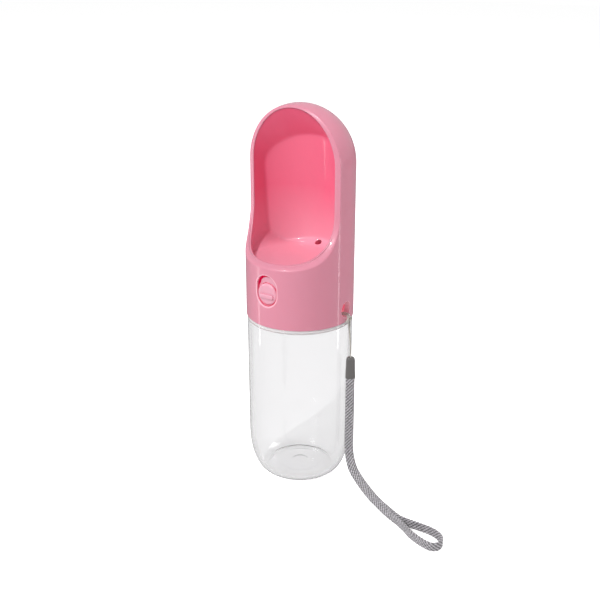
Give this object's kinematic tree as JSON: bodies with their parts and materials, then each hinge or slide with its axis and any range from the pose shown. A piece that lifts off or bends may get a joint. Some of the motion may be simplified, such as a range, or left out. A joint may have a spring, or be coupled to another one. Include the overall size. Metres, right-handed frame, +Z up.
{
  "type": "dog travel water bottle",
  "caption": "Clear bottle that screws into a domed head with a drinking trough, a press-button valve on a locking slide, and a woven wrist lanyard.",
  "frame": {"origin": "centre of the base, on the surface the bottle stands on", "axes": "+Z up along the bottle's axis, -Y towards the trough's opening and the button, +X towards the lanyard eye"},
  "size_m": [0.1539, 0.0714, 0.235],
  "materials": {
    "clear_plastic": "clear",
    "silicone": "matte",
    "shell_plastic": "satin",
    "liner_plastic": "glossy",
    "inner_plastic": "matte",
    "slide_plastic": "satin",
    "steel": "brushed",
    "rubber": "matte",
    "string": "twisted",
    "ferrule_plastic": "satin",
    "webbing": "woven"
  },
  "bodies": {
    "bottle": {"bottle": "clear_plastic"},
    "seal": {"neck_gasket": "silicone"},
    "head": {"head_shell": "shell_plastic", "trough_liner": "liner_plastic", "valve_chassis": "inner_plastic", "chassis_screws": "steel", "stem_oring": "rubber", "valve_spring": "steel", "outlet_sleeve": "silicone", "slider_cover": "inner_plastic", "cover_screws": "steel", "lanyard_string": "string", "lanyard_ferrule": "ferrule_plastic", "lanyard_strap": "webbing"},
    "valve": {"valve_plug": "rubber", "valve_stem": "steel", "stem_cap": "inner_plastic", "stem_clip": "steel"},
    "presser": {"push_slider": "inner_plastic"},
    "lock": {"lock_slide": "slide_plastic", "button_spring": "steel"},
    "button": {"button": "slide_plastic", "button_clip": "steel"}
  },
  "joints": [
    {"name": "head_rise", "type": "slide", "parent": "bottle", "child": "seal", "axis": [0, 0, 1], "range_m": [0, 0.006]},
    {"name": "head_turn", "type": "hinge", "parent": "seal", "child": "head", "pos_m": [0, 0, 0.107], "axis": [0, 0, 1], "range_deg": [0, 540]},
    {"name": "lock_shift", "type": "slide", "parent": "head", "child": "lock", "axis": [0, 0, 1], "range_m": [0, 0.0045]},
    {"name": "button_press", "type": "slide", "parent": "lock", "child": "button", "axis": [0, 1, 0], "range_m": [0, 0.003], "stiffness_N_per_m": 400, "springref_m": -0.002, "deforming": ["button_spring"]},
    {"name": "press_slide", "type": "slide", "parent": "head", "child": "presser", "axis": [0, 1, 0], "range_m": [0, 0.003]},
    {"name": "valve_open", "type": "slide", "parent": "head", "child": "valve", "axis": [0, 0, -1], "range_m": [0, 0.003], "deforming": ["valve_spring"]}
  ],
  "couplings": [
    {"joint": "head_rise", "follows": "head_turn", "m_per_rad": 0.00063662},
    {"joint": "press_slide", "follows": "button_press", "ratio": 1},
    {"joint": "valve_open", "follows": "button_press", "ratio": 1}
  ]
}
